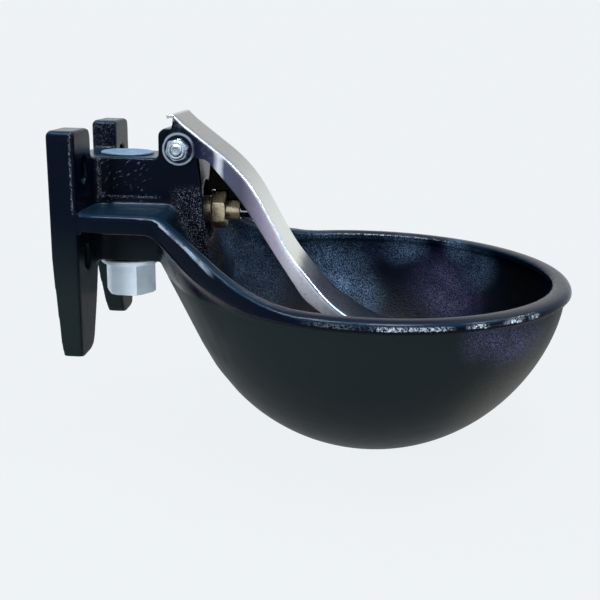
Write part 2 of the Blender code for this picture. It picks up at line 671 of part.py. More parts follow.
def make_paddle():
    """Pressed stainless channel with two round ears on the hinge bolt."""
    top = paddle_line()
    under = offset_line(top, PADDLE_SHEET - 0.1)
    low_edge = soft_corners([(226.5, -90.0), (204.0, -85.5), (176.0, -73.5), (156.4, -58.9),
                             (138.5, -32.1), (112.5, 7.6), (91.5, 31.6), (84.6, 32.4)],
                            (0, 8.0, 8.0, 6.0, 8.0, 12.0, 2.5, 0), steps=3)
    ear = arc((HINGE_X, HINGE_Z), EAR_R, -22, -215, 14)
    side_view = top + low_edge + ear + [(71.0, 53.5)]
    side_view += [point for point in reversed(under) if point[0] < 70.8]
    paddle = outline_plate("paddle", [side_view], 2 * PADDLE_HALF, "XZ", 0.0, STAINLESS)

    # Round the long bends where the face turns into the flanges
    work = bmesh.new()
    work.from_mesh(paddle.data)
    weight = work.edges.layers.float.new("bevel_weight_edge")
    face_points = [Vector((x * MM, z * MM)) for x, z in top]
    for edge in work.edges:
        ends = [Vector((v.co.x, v.co.z)) for v in edge.verts]
        same_side = edge.verts[0].co.y * edge.verts[1].co.y > 0
        on_face = all(min((end - p).length for p in face_points) < 1e-5 for end in ends)
        if same_side and on_face and (ends[0] - ends[1]).length > 1e-5 and edge.calc_length() < 0.05:
            edge[weight] = 1.0
    work.to_mesh(paddle.data)
    work.free()
    bend = paddle.modifiers.new("bend", "BEVEL")
    bend.limit_method = "WEIGHT"
    bend.width = 2.6 * MM
    bend.segments = 2
    bpy.context.view_layer.update()
    depsgraph = bpy.context.evaluated_depsgraph_get()
    bent = bpy.data.meshes.new_from_object(paddle.evaluated_get(depsgraph))
    paddle.modifiers.clear()
    paddle.data = bent

    # Hollow between the flanges
    hollow_line = offset_line(top, PADDLE_SHEET)
    hollow_view = hollow_line + [(240.0, -110.0), (150.0, -140.0), (40.0, -20.0), (50.0, 50.0)]
    hollow = outline_plate("channel_hollow", [hollow_view], 2 * (PADDLE_HALF - PADDLE_SHEET), "XZ")
    combine(paddle, hollow, "DIFFERENCE")
    ear_holes = rod("ear_holes", BOLT_R + 0.25, -40.0, 40.0, "Y", (HINGE_X, 0, HINGE_Z), 24)
    combine(paddle, ear_holes, "DIFFERENCE")

    # Round the tip in plan
    plan = soft_corners([(40.0, -60.0), (160.0, -60.0), (175.0, -PADDLE_HALF - 0.5),
                         (227.5, -PADDLE_HALF - 0.5), (227.5, PADDLE_HALF + 0.5),
                         (175.0, PADDLE_HALF + 0.5), (160.0, 60.0), (40.0, 60.0)],
                        (0, 0, 0, 18.0, 18.0, 0, 0, 0), steps=5)
    combine(paddle, outline_plate("tip_plan", [plan], CUT_WIDE, "XY"), "INTERSECT")
    shade(paddle, 35.0)
    return paddle


def make_hinge():
    """Bolt through both ears and the boss, with washers and a locking nut."""
    centre = (HINGE_X, 0, HINGE_Z)
    washer_in = BLOCK_HALF + GAP
    washer_out = PADDLE_HALF - PADDLE_SHEET - GAP
    for name, start, end in (("washer_near", -washer_out, -washer_in),
                             ("washer_far", washer_in, washer_out)):
        ring = [(BOLT_R + GAP, start), (WASHER_R, start), (WASHER_R, end), (BOLT_R + GAP, end)]
        turned(name, ring, "Y", centre, 20, NYLON, closed=True)

    nut_face = PADDLE_HALF + GAP
    washer_face = nut_face + HEAD_WASHER
    head_face = washer_face + GAP
    ring = [(BOLT_R + GAP, nut_face), (WASHER_R, nut_face), (WASHER_R, washer_face),
            (BOLT_R + GAP, washer_face)]
    turned("head_washer", ring, "Y", centre, 20, ZINC, closed=True)
    shaft = [(6.2, head_face + 5.0), (6.2, head_face + 0.1), (BOLT_R, head_face + 0.1),
             (BOLT_R, -nut_face - 7.7), (BOLT_R - 1.0, -nut_face - 8.6), (0.0, -nut_face - 8.6),
             (0.0, head_face + 5.3)]
    bolt = turned("hinge_bolt", shaft, "Y", centre, 24, ZINC, closed=True)
    head = rod("bolt_head", hexagon(HINGE_HEX), head_face, head_face + 5.3, "Y", centre, 6)
    crown = [(0.0, head_face - 1.0), (7.6, head_face - 1.0), (7.6, head_face + 4.4),
             (6.6, head_face + 5.4), (0.0, head_face + 5.4)]
    combine(head, turned("head_crown", crown, "Y", centre, 24), "INTERSECT")
    combine(bolt, head, "UNION")
    shade(bolt)

    nut = rod("hinge_nut", hexagon(HINGE_HEX), -nut_face - 5.6, -nut_face, "Y", centre, 6, ZINC, 15.0)
    neck = [(0.0, -nut_face - 8.0), (5.2, -nut_face - 8.0), (5.8, -nut_face - 7.4),
            (5.8, -nut_face - 5.0), (0.0, -nut_face - 5.0)]
    combine(nut, turned("nut_neck", neck, "Y", centre, 20), "UNION")
    inside = [(0.0, -nut_face - 9.0), (4.6, -nut_face - 9.0), (4.6, -nut_face - 7.7),
              (5.3, -nut_face - 7.7), (5.3, -nut_face - 5.6), (BOLT_R + GAP, -nut_face - 5.6),
              (BOLT_R + GAP, 0.0), (0.0, 0.0)]
    combine(nut, turned("nut_inside", inside, "Y", centre, 20), "DIFFERENCE")
    shade(nut)
    insert = [(BOLT_R + 0.2, -nut_face - 7.5), (5.1, -nut_face - 7.5), (5.1, -nut_face - 5.8),
              (BOLT_R + 0.2, -nut_face - 5.8)]
    turned("nut_insert", insert, "Y", centre, 20, NYLON, closed=True)


def set_pivot(names, label, point):
    """Gather pieces under an empty that stands on their axis."""
    pivot = bpy.data.objects.new(label, None)
    pivot.location = Vector(point) * MM
    parts.objects.link(pivot)
    for name in names:
        obj = bpy.data.objects[name]
        obj.data.transform(Matrix.Translation(-pivot.location))
        obj.parent = pivot


make_casting()
make_inlet_fittings()
make_valve()
make_paddle()
make_hinge()
set_pivot(["paddle", "hinge_bolt", "hinge_nut", "nut_insert", "washer_near", "washer_far", "head_washer"],
          "hinge_axis", (HINGE_X, 0, HINGE_Z))
set_pivot(["valve_stem", "valve_seal", "valve_plunger"], "valve_axis", (SEAT_X, 0, VALVE_Z))
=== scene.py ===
import math

import bmesh
import bpy
import numpy as np
from mathutils import Matrix, Vector


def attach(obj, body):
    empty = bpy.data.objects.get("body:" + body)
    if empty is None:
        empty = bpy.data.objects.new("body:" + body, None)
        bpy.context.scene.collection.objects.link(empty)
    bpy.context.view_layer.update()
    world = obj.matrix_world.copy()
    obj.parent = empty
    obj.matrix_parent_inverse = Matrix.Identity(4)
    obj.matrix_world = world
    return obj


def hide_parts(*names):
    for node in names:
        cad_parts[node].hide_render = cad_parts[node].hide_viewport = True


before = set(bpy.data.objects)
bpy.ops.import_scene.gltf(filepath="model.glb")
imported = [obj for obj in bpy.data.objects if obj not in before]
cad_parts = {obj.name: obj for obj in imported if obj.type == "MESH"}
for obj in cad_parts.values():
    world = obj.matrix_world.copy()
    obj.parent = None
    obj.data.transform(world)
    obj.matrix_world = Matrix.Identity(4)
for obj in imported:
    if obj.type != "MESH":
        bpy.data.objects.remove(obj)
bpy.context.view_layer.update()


# Camera and studio: the bowl is seen from its left side, a little from above, on a pale
# plain ground. Soft lamps hang over it and stand in front, and narrow ones draw lines of
# light along the rim and the slope.

MM = 0.001
EYE = Vector((183.43, -570.44, 95.21)) * MM
YAW, PITCH, ROLL = (math.radians(angle) for angle in (-3.02, 15.66, 1.51))
FOCAL, SENSOR, SHIFT, CLIP = 50.9, 36.0, (-0.0026, -0.0047), (0.01, 20.0)
GROUND_CENTRE, GROUND_HALF = (0.2, 0.0, -0.1642), 6.0

forward = Vector((math.sin(YAW) * math.cos(PITCH), math.cos(YAW) * math.cos(PITCH), -math.sin(PITCH)))
level = Vector((math.cos(YAW), -math.sin(YAW), 0.0))
over = level.cross(forward)
right = level * math.cos(ROLL) + over * math.sin(ROLL)
above = over * math.cos(ROLL) - level * math.sin(ROLL)
lens = bpy.data.cameras.new("camera")
lens.lens, lens.sensor_width = FOCAL, SENSOR
lens.shift_x, lens.shift_y = SHIFT
lens.clip_start, lens.clip_end = CLIP
camera = bpy.data.objects.new("camera", lens)
camera.matrix_world = Matrix.Translation(EYE) @ Matrix((right, above, -forward)).transposed().to_4x4()
bpy.context.scene.collection.objects.link(camera)
bpy.context.scene.camera = camera
bpy.context.scene.view_settings.view_transform = "Standard"


class Wire:
    """An output socket, so that masks and heights are written as plain sums."""

    def __init__(self, finish, socket):
        self.finish, self.socket = finish, socket

    def worked(self, operation, other=0.0, reflected=False):
        """Add the Math node that works this wire out with another wire or a number."""
        first, second = (other, self) if reflected else (self, other)
        return self.finish.node("ShaderNodeMath", {"operation": operation}, {0: first, 1: second})

    def __add__(self, other):
        return self.worked("ADD", other)

    def __sub__(self, other):
        return self.worked("SUBTRACT", other)

    def __rsub__(self, other):
        return self.worked("SUBTRACT", other, True)

    def __mul__(self, other):
        return self.worked("MULTIPLY", other)

    def __truediv__(self, other):
        return self.worked("DIVIDE", other)

    def __rtruediv__(self, other):
        return self.worked("DIVIDE", other, True)

    def __pow__(self, other):
        return self.worked("POWER", other)

    def __rpow__(self, other):
        return self.worked("POWER", other, True)

    def __abs__(self):
        return self.worked("ABSOLUTE")

    __radd__ = __add__
    __rmul__ = __mul__


class Finish:
    """A node tree under construction: a material's, or the world's."""

    def __init__(self, owner):
        owner.use_nodes = True
        self.owner, self.tree = owner, owner.node_tree
        self.tree.nodes.clear()

    def node(self, kind, settings=None, inputs=None, output=0):
        """Add a node, set its settings, then fill its sockets with values or wires."""
        made = self.tree.nodes.new(kind)
        for name, value in (settings or {}).items():
            if name == "stops":
                for _ in value[2:]:
                    made.color_ramp.elements.new(0.5)
                for stop, (position, colour) in zip(made.color_ramp.elements, value):
                    stop.position, stop.color = position, colour
            else:
                setattr(made, name, value)
        for name, value in (inputs or {}).items():
            if isinstance(value, Wire):
                self.tree.links.new(value.socket, made.inputs[name])
            else:
                made.inputs[name].default_value = value
        return Wire(self, made.outputs[output]) if len(made.outputs) else made


def rgb(red, green, blue):
    """Colour of a surface written as it looks on screen, from 0 to 255."""
    return tuple((c / 255) ** 2.2 for c in (red, green, blue)) + (1.0,)


def seen_directly(finish):
    """1 for what the camera sees, also off a glossy surface or through a clear one."""
    return sum(finish.node("ShaderNodeLightPath", output=kind)
               for kind in ("Is Camera Ray", "Is Glossy Ray", "Is Transmission Ray"))


def sheet_lamp(name, place, aim, size, power, soft=True, glints=True):
    """A flat lamp in metres and watts, for soft light, for glints on gloss, or for both."""
    lamp = bpy.data.lights.new(name, "AREA")
    lamp.shape = "RECTANGLE"
    lamp.size, lamp.size_y = size
    lamp.energy = power
    stand = bpy.data.objects.new(name, lamp)
    stand.location = place
    stand.rotation_euler = (Vector(aim) - Vector(place)).to_track_quat("-Z", "Y").to_euler()
    stand.visible_diffuse, stand.visible_glossy = soft, glints
    bpy.context.scene.collection.objects.link(stand)


sheet_lamp("overhead_lamp", (0.33, -0.25, 1.15), (0.20, -0.05, -0.05), (0.50, 0.40), 7.0)
sheet_lamp("front_lamp", (-0.45, -1.10, 0.35), (0.10, 0.0, -0.02), (0.40, 0.40), 12.0, glints=False)
sheet_lamp("side_lamp", (1.25, -0.40, 0.05), (0.20, 0.0, -0.05), (0.15, 0.30), 1.2)
sheet_lamp("rim_strip", (0.36, -0.37, 1.12), (0.21, -0.13, -0.04), (0.36, 0.09), 18.0, soft=False)
sheet_lamp("slope_strip", (-0.20, -0.30, 1.08), (0.09, -0.08, -0.02), (0.36, 0.09), 16.0, soft=False)
sheet_lamp("right_spot", (1.05, -0.18, 0.86), (0.27, -0.10, -0.04), (0.12, 0.08), 5.0, soft=False)
sheet_lamp("far_right_spot", (1.31, 0.17, 0.70), (0.29, -0.09, -0.04), (0.12, 0.08), 5.0, soft=False)

# The backdrop shows its full colour, and lights the bowl with a share of it
backdrop_colour, room_light = rgb(238, 242, 245), 0.55
world = bpy.data.worlds.new("studio")
bpy.context.scene.world = world
sky = Finish(world)
pale = sky.node("ShaderNodeBackground", inputs={"Color": backdrop_colour, "Strength": 1.0})
dim = sky.node("ShaderNodeBackground", inputs={"Color": backdrop_colour, "Strength": room_light})
sky.node("ShaderNodeOutputWorld", inputs={
    "Surface": sky.node("ShaderNodeMixShader", inputs={0: seen_directly(sky), 1: dim, 2: pale})})

ground = bpy.data.meshes.new("ground")
work = bmesh.new()
bmesh.ops.create_grid(work, x_segments=1, y_segments=1, size=GROUND_HALF)
work.to_mesh(ground)
work.free()
floor = bpy.data.objects.new("floor", ground)
floor.location = GROUND_CENTRE
bpy.context.scene.collection.objects.link(floor)

# The floor shows a little of its own shading near the bowl, and further out its plain colour
paint = Finish(bpy.data.materials.new("pale_floor"))
spread = paint.node("ShaderNodeVectorMath", {"operation": "LENGTH"},
                    {0: paint.node("ShaderNodeTexCoord", output="Object")}, output="Value")
fade = paint.node("ShaderNodeMapRange", {"clamp": True},
                  {"Value": spread, "From Min": 0.15, "From Max": 0.75, "To Min": 0.96, "To Max": 1.0})
matt = paint.node("ShaderNodeBsdfDiffuse", inputs={"Color": rgb(236, 240, 243)})
glow = paint.node("ShaderNodeEmission", inputs={"Color": backdrop_colour, "Strength": 1.0})
blend = paint.node("ShaderNodeMixShader", inputs={0: seen_directly(paint) * fade, 1: matt, 2: glow})
paint.node("ShaderNodeOutputMaterial", inputs={"Surface": blend})
ground.materials.append(paint.owner)


# Casting: one iron casting makes the bowl, rolled rim, ledge, inlet block, hinge boss and
# two slotted bars. It is sand cast, so every edge is soft, and it is dipped in navy enamel
# that pools and pebbles. All sizes from here on are in millimetres.

BOWL_X, BODY_R, BODY_TOP_Z, BODY_DEPTH, WALL = 201.5, 128.3, -50.0, 114.0, 5.5
OUTWARD_POWER, DOWNWARD_POWER = 2.1, 1.67
RIM_R, RIM_IN, RIM_TOP_Z, RIM_LOW_Z, BEAD = 132.3, 119.5, -40.5, -47.3, 6.0
MESH_GRID, EDGE_ROUNDS, NECK_ROUNDS = 1.25, 5, 50
BODY_REACH, RIM_REACH, BEAD_REACH = (1.6, 1.0), (0.9, 0.5), 1.2


def baked(source):
    """Work out an object's modifiers and keep the mesh they make."""
    bpy.context.view_layer.update()
    depsgraph = bpy.context.evaluated_depsgraph_get()
    mesh = bpy.data.meshes.new_from_object(source.evaluated_get(depsgraph))
    source.modifiers.clear()
    source.data = mesh


def coordinates(mesh):
    """Every vertex of a mesh, one row each."""
    flat = np.zeros(len(mesh.vertices) * 3, np.float32)
    mesh.vertices.foreach_get("co", flat)
    return flat.reshape(-1, 3).astype(float) / MM


def faded(values, start, end):
    """0 before the start, 1 past the end and even between; the end may be the lower one."""
    return np.clip((values - start) / (end - start), 0, 1)


def from_axis(points):
    """How far each point is from the bowl's upright axis."""
    return np.maximum(np.hypot(points[:, 0] - BOWL_X, points[:, 1]), 0.01)


def widen(points, scale):
    """Move points out from the bowl's axis, or in to it."""
    points[:, 0] = BOWL_X + (points[:, 0] - BOWL_X) * scale
    points[:, 1] *= scale


def draw_to_bowl(points, inset, weight):
    """Move points that lie close to the bowl's turned form on to it."""
    radius, depth = BODY_R - inset, BODY_DEPTH - inset
    for _ in range(3):
        reach = from_axis(points)
        down = np.clip((BODY_TOP_Z - points[:, 2]) / depth, 1e-6, None)
        past = (reach / radius) ** OUTWARD_POWER + down ** DOWNWARD_POWER - 1
        outward = OUTWARD_POWER * (reach / radius) ** (OUTWARD_POWER - 1) / radius
        upright = -DOWNWARD_POWER * down ** (DOWNWARD_POWER - 1) / depth
        steepness = outward ** 2 + upright ** 2
        step = -past / steepness * weight * faded(np.abs(past) / np.sqrt(steepness), *BODY_REACH)
        widen(points, 1 + step * outward / reach)
        points[:, 2] += step * upright


def dressed(piece, body, slot, finish, *nodes):
    """Give a piece its finish, hang it on the body it rides on, and hide the solids it stands for."""
    piece.data.materials.clear()
    piece.data.materials.append(finish)
    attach(piece, body)
    if nodes:
        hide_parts(*nodes)


casting_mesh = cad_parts["bowl_casting"].data.copy()
casting_mesh.name = "enamelled_casting"
casting = bpy.data.objects.new("enamelled_casting", casting_mesh)
bpy.context.scene.collection.objects.link(casting)
grid = casting.modifiers.new("grid", "REMESH")
grid.mode, grid.voxel_size = "VOXEL", MESH_GRID * MM
baked(casting)

# Where the slope runs into the bowl, and all over the bowl below it, the skin is rounded more
x, y, z = coordinates(casting.data).T
neck = faded(x, 128, 108) * faded(x, 66, 74) * faded(np.abs(y), 25.5, 28.5) * faded(z, -14, -26)
neck = np.maximum(neck, faded(z, -50, -54) * faded(x, 62, 70))
soft = casting.vertex_groups.new(name="neck")
for i in np.nonzero(neck > 0.01)[0]:
    soft.add([int(i)], float(neck[i]), "REPLACE")
edges = casting.modifiers.new("cast_edges", "SMOOTH")
edges.factor, edges.iterations = 0.5, EDGE_ROUNDS
rounding = casting.modifiers.new("neck_rounding", "SMOOTH")
rounding.factor, rounding.iterations, rounding.vertex_group = 0.5, NECK_ROUNDS, soft.name
baked(casting)

# Both skins of the bowl and both sides of the rim are drawn on to their true round forms
points = coordinates(casting.data)
turned_part = faded(points[:, 0], 112, 136) * faded(points[:, 2], RIM_LOW_Z - 3, RIM_LOW_Z - 6)
draw_to_bowl(points, 0.0, turned_part)
draw_to_bowl(points, WALL, turned_part)
rim_part = faded(points[:, 0], 140, 160) * faded(points[:, 2], RIM_LOW_Z - 0.5, RIM_LOW_Z + 0.5)
for radius in (RIM_R, RIM_IN):
    reach = from_axis(points)
    widen(points, 1 + rim_part * faded(np.abs(reach - radius), *RIM_REACH) * (radius / reach - 1))

# The rim's outer shoulder is a quarter round of the bead's own radius
reach = from_axis(points)
out, up = reach - (RIM_R - BEAD), points[:, 2] - (RIM_TOP_Z - BEAD)
from_core = np.hypot(out, up)
shoulder = rim_part * (out > 0) * (up > 0) * (from_core > BEAD - BEAD_REACH)
pull = shoulder * (BEAD / np.maximum(from_core, 1.0) - 1)
widen(points, 1 + shoulder * ((RIM_R - BEAD + out * (1 + pull)) / reach - 1))
points[:, 2] += shoulder * up * pull
casting.data.vertices.foreach_set("co", (points * MM).astype(np.float32).ravel())
casting.data.update()
casting.data.shade_smooth()

enamel = Finish(bpy.data.materials.new("navy_enamel_on_iron"))


def ramp(value, start, end, low=0.0, high=1.0):
    """Smooth step of a value between two places."""
    return value.finish.node("ShaderNodeMapRange", {"interpolation_type": "SMOOTHSTEP"}, {
        "Value": value, "From Min": start, "From Max": end, "To Min": low, "To Max": high})


def between(value, start, full, waning, end):
    """Mask that rises from start to full, and falls from waning to end."""
    return ramp(value, start, full) * ramp(value, end, waning)


def tinted(share, plain, other):
    """Mix of two colours by a mask."""
    return share.finish.node("ShaderNodeMix", {"data_type": "RGBA"},
                             {"Factor": share, 6: plain, 7: other}, output=2)


def layered(base, coats):
    """Lay coats of colour over a base, each by its own mask."""
    for share, colour in coats:
        base = tinted(share, base, colour)
    return base


def grain(vector, scale, detail=2.0, roughness=0.55):
    """Cloudy noise; the scale is in lumps to the metre."""
    return vector.finish.node("ShaderNodeTexNoise", inputs={
        "Vector": vector, "Scale": scale, "Detail": detail, "Roughness": roughness})


def parts_of(vector, axes):
    """Single parts of a vector."""
    return [vector.finish.node("ShaderNodeSeparateXYZ", inputs={0: vector}, output=axis)
            for axis in axes]


def near(place, centre, radius):
    """Soft round patch about a point."""
    away = place.finish.node("ShaderNodeVectorMath", {"operation": "DISTANCE"},
                             {0: place, 1: tuple(c * MM for c in centre)}, output="Value")
    return ramp(away, radius * MM, radius * MM * 0.15)


def patches(place, spots):
    """Soft patches added up, each with its centre, radius and strength."""
    return sum(near(place, centre, radius) * share for centre, radius, share in spots)


def skin_bump(height, strength, depth):
    """Bump from a height, its depth in millimetres."""
    return height.finish.node("ShaderNodeBump", inputs={
        "Height": height, "Strength": strength, "Distance": depth * MM})


def coated(finish, sockets):
    """End a finish with its shader, and hand over the material."""
    shader = finish.node("ShaderNodeBsdfPrincipled", inputs=sockets)
    finish.node("ShaderNodeOutputMaterial", inputs={"Surface": shader})
    return finish.owner


place = enamel.node("ShaderNodeTexCoord", output="Object")
along, across, height = (part / MM for part in parts_of(place, "XYZ"))
off_centre = abs(across)
sideways, upward = parts_of(enamel.node("ShaderNodeNewGeometry", output="Normal"), "YZ")
sideways = abs(sideways)

# Parts of the casting: the bowl's inside and outside, the legs, and the rest as one shelf
reach = ((along - BOWL_X) ** 2 + across ** 2) ** 0.5
down = ((BODY_TOP_Z - height) / BODY_DEPTH).worked("MAXIMUM", 0.0)
bowl = (reach / (BODY_R - WALL / 2)) ** OUTWARD_POWER + down ** DOWNWARD_POWER
body = ramp(along, 56, 66)
inside = ramp(bowl, 1.0, 0.985) * ramp(height, -43.5, -47.5)
outside = ramp(bowl, 1.0, 1.01) * ramp(height, -45.5, -48.5) * body + (1 - body) * ramp(height, 4, -60)
shelf = 1 - inside.worked("MAXIMUM", outside)

# Places where glints and lines of light are painted: the rim, the slope's edge, the rough side, the bars,
# the block
rim_top_sheen = ramp(height, -43.2, -41.5) * ramp(along, 128, 150) * ramp(upward, 0.70, 0.95)
rim_face = between(upward, 0.10, 0.22, 0.46, 0.64) * ramp(height, -48, -47)
slope_line = between(sideways, 0.76, 0.81, 0.87, 0.91) * ramp(upward, 0.1, 0.2) \
    * between(along, 53, 58, 96, 108) * ramp(off_centre, 50, 54)
rough_side = between(along, 64, 76, 92, 106) * ramp(height, 16, 8) * ramp(off_centre, 34, 26)
wrinkled = between(along, 14, 20, 46, 60) * ramp(height, -1, 4) * ramp(off_centre, 30, 26)
bar_edge = ramp(abs(along - 14.8), 0.9, 0.4) * ramp(off_centre, 60, 63.5) * ramp(height, -2, 4)
far_bar = ramp(across, 26, 30) * ramp(height, 26, 34) * ramp(along, 18, 15)
block_edge = ramp(abs(along - 20.7), 1.5, 0.6) * ramp(height, 3, 6) * between(off_centre, 20, 24, 27, 31)
block_foot = ramp(abs(height - 5.6), 1.2, 0.4) * between(along, 18, 21, 56, 62) * ramp(off_centre, 34, 30)

# The enamel's texture, from coarse clouds to fine specks
pebble = grain(place, 800.0, 2.0, 0.5)
broad = grain(place, 95.0, 3.0, 0.55)
fine = grain(place, 1900.0, 2.0, 0.6)
cloudy = ramp(grain(place, 48.0, 3.0, 0.6), 0.34, 0.60, 0.60, 1.10)
slanted = enamel.node("ShaderNodeVectorRotate", {"rotation_type": "Y_AXIS"},
                      {"Vector": place, "Angle": 0.7})
slanted = enamel.node("ShaderNodeVectorMath", {"operation": "MULTIPLY"},
                      {0: slanted, 1: (0.35, 1.0, 1.0)})
wrinkle = grain(slanted, 620.0, 2.0, 0.5)
# Masks of the specks where glints are painted
sparkle = ramp(fine * 0.75 + pebble * 0.25, 0.50, 0.58)
glint = ramp(fine * 0.7 + pebble * 0.3, 0.555, 0.63)
slant_glint = ramp(wrinkle * 0.75 + fine * 0.25, 0.60, 0.66)
edge_glint = ramp(pebble * 0.3 + fine * 0.7, 0.52, 0.60)
rim_glint = ramp(pebble * 0.5 + fine * 0.5, 0.48, 0.57)

# Painted sheen: cool and lilac pools in the bowl, lilac ones under the rim, and painted glints on the rim
cool_sheen = cloudy * (1 - outside) * patches(place, (
    ((172, 116, -70), 42, 0.62), ((190, 108, -94), 34, 0.85), ((205, 119, -52), 20, 0.12),
    ((226, 118, -52), 20, 0.32), ((240, 116, -52), 16, 0.28), ((272, 100, -48), 16, 0.50),
    ((287, 86, -60), 24, 0.22), ((148, 112, -50), 34, 0.30), ((108, 72, -62), 60, 0.45)))
own_side = ramp(abs(outside - ramp(across, 10, -10)), 1.0, 0.6)
lilac_sheen = cloudy * own_side * patches(place, (
    ((258, 101, -76), 34, 0.26), ((274, 88, -92), 34, 0.28), ((281, -102, -58), 24, 0.36),
    ((262, -112, -54), 20, 0.24), ((294, -88, -60), 24, 0.26)))
rim_highlight_streak = rim_face * patches(place, (
    ((212, -131, -44), 17, 0.80), ((231, -129, -44), 16, 0.70), ((258, -120, -44), 9, 1.00),
    ((280, -106, -44), 10, 1.00), ((293, -94, -44), 7, 0.80), ((178, -130, -44), 22, 0.12),
    ((166, 114, -42), 20, 0.70), ((190, 119, -42), 22, 0.90), ((214, 118, -42), 20, 0.90),
    ((240, 112, -42), 16, 0.60), ((258, 102, -42), 12, 0.40)))
# Painted shade: the far end of the bowl's inside is painted darker
shaded_end = near(place, (322, 42, -60), 75)
# Painted sheen: a warm pale patch low on the outside, with painted specks
warm_sheen = near(place, (288, -66, -106), 62) * outside

# Painted light and shade: faces that look up are painted lighter than faces that look sideways
shaded_side_coat, lit_top_coat = rgb(8, 16, 28), rgb(26, 46, 64)
skin = layered(tinted(ramp(upward, 0.35, 0.8), shaded_side_coat, lit_top_coat), (
    # Painted reflection: the rim's top is painted lighter, and grey further round
    (rim_top_sheen, rgb(26, 33, 47)),
    (rim_top_sheen * ramp(along, 220, 300), rgb(62, 64, 70)),
    # The outside's charcoal is the navy enamel with a painted dull reflection of the pale room
    (outside, rgb(28, 35, 37)),
    # Painted shade: the outside is darker where it faces down
    (outside * ramp(upward, -0.2, -0.8) * 0.35, rgb(16, 20, 21)),
    (warm_sheen * (sparkle * 0.5 + 0.35), rgb(86, 82, 76)),
    (inside, rgb(4, 14, 31)),
    (inside * shaded_end, rgb(3, 5, 9)),
    (cool_sheen * 0.75, rgb(22, 50, 86)),
    (cool_sheen * sparkle * 0.85, rgb(150, 184, 218)),
    (lilac_sheen, rgb(34, 36, 66)),
    (lilac_sheen * sparkle * 0.85, rgb(136, 136, 178)),
    # Painted glints and lines of light on the side, the edges, the slope, the rim and the far bar
    (rough_side * glint * 0.8, rgb(150, 152, 172)),
    (wrinkled * slant_glint * 0.45, rgb(112, 118, 138)),
    ((bar_edge + block_edge + block_foot) * edge_glint * 0.42, rgb(170, 178, 200)),
    (slope_line * ramp(broad, 0.35, 0.60, 0.15, 0.6), rgb(160, 182, 208)),
    (rim_highlight_streak * rim_glint, rgb(205, 220, 240)),
    (far_bar * glint * 0.35, rgb(140, 136, 160))))
relief = pebble * (inside * 0.9 + outside * 0.10 + shelf * 0.16 + far_bar * 0.8) + broad * 0.35 \
    + fine * (shelf * 0.08 + inside * 0.25 + lilac_sheen * 0.5 + rough_side * 1.1) + wrinkle * wrinkled * 0.9
navy_enamel = coated(enamel, {
    "Base Color": skin, "Roughness": outside * 0.25 + inside * 0.12 + 0.14 + broad * 0.08,
    "Specular IOR Level": 0.045, "Normal": skin_bump(relief, 0.6, 0.7)})
dressed(casting, "bowl", "navy_enamel_on_iron", navy_enamel, "bowl_casting")


# Inlet fittings: a push-in cap of pale blue plastic keeps dirt out of the inlet on top of
# the block. A moulded white hexagon plug, on a rubber ring, closes the lower port.

PORT_X, BLOCK_LOW_Z = 33.1, -38.0
PLAY, SEAL, FLANGE, PLUG_HEXAGON = 0.3, 1.6, 3.0, 21.3
TURNS = {"Z": Matrix.Identity(3), "X": Matrix.Rotation(math.radians(90), 3, "Y"),
         "Y": Matrix.Rotation(math.radians(-90), 3, "X")}


def skinned(name, rows, closed=False, ends=None, bevel=0.0, sharp=42.0):
    """Skin rows of points, soften the hard edges and shade the piece.

    Closed joins the last row to the first. Ends closes the first and last rows, "flat" with
    one face each, or "folded" with a strip, where a row runs out along a sheet and back.
    """
    count, last = len(rows[0]), (len(rows) - 1) * len(rows[0])
    faces = []
    for i in range(len(rows) if closed else len(rows) - 1):
        a, b = i * count, (i + 1) % len(rows) * count
        for j in range(count):
            k = (j + 1) % count
            faces.append((a + j, a + k, b + k, b + j))
    if ends == "flat":
        faces += [tuple(range(count)), tuple(range(last, last + count))]
    if ends == "folded":
        for j in range(count // 2 - 1):
            k = count - 1 - j
            faces.append((j, j + 1, k - 1, k))
            faces.append((last + k, last + k - 1, last + j + 1, last + j))
    mesh = bpy.data.meshes.new(name)
    mesh.from_pydata([tuple(c * MM for c in point) for row in rows for point in row], [], faces)
    work = bmesh.new()
    work.from_mesh(mesh)
    bmesh.ops.remove_doubles(work, verts=work.verts, dist=1e-7)
    bmesh.ops.dissolve_degenerate(work, edges=work.edges, dist=1e-7)
    bmesh.ops.recalc_face_normals(work, faces=work.faces)
    work.to_mesh(mesh)
    work.free()
    piece = bpy.data.objects.new(name, mesh)
    bpy.context.scene.collection.objects.link(piece)
    if bevel:
        softened(piece, bevel, 28)
    smoothed(piece, sharp)
    return piece


def softened(piece, width, angle):
    """Round off the edges that are sharper than an angle."""
    edge = piece.modifiers.new("edges", "BEVEL")
    edge.width, edge.segments = width * MM, 2
    edge.limit_method, edge.angle_limit = "ANGLE", math.radians(angle)
    baked(piece)


def smoothed(piece, sharp):
    piece.data.shade_smooth()
    piece.data.set_sharp_from_angle(angle=math.radians(sharp))


def lathe(name, profile, axis, centre, closed=False, bevel=0.0, steps=96, sharp=42.0):
    """Turn a profile of radii and heights; an entry may be a function of the angle."""
    rows = []
    for entry in profile:
        row = []
        for j in range(steps):
            angle = 2 * math.pi * j / steps
            radius, height = entry(angle) if callable(entry) else entry
            local = Vector((radius * math.cos(angle), radius * math.sin(angle), height))
            row.append(TURNS[axis] @ local + Vector(centre))
        rows.append(row)
    return skinned(name, rows, closed, bevel=bevel, sharp=sharp)


def hexagon_rows(flats, turn, start, end, crown):
    """Rows of a hexagon whose corners are turned off to a crown at both ends."""
    sixth, chamfer = math.pi / 3, 0.58

    def side(angle):
        return flats / 2 / math.cos((angle - math.radians(turn) + sixth / 2) % sixth - sixth / 2)

    def cut(angle):
        return math.copysign(max(side(angle) - crown, 0.0) * chamfer, end - start)

    return [lambda a: (min(side(a), crown), start), lambda a: (side(a), start + cut(a)),
            lambda a: (side(a), end - cut(a)), lambda a: (min(side(a), crown), end)]


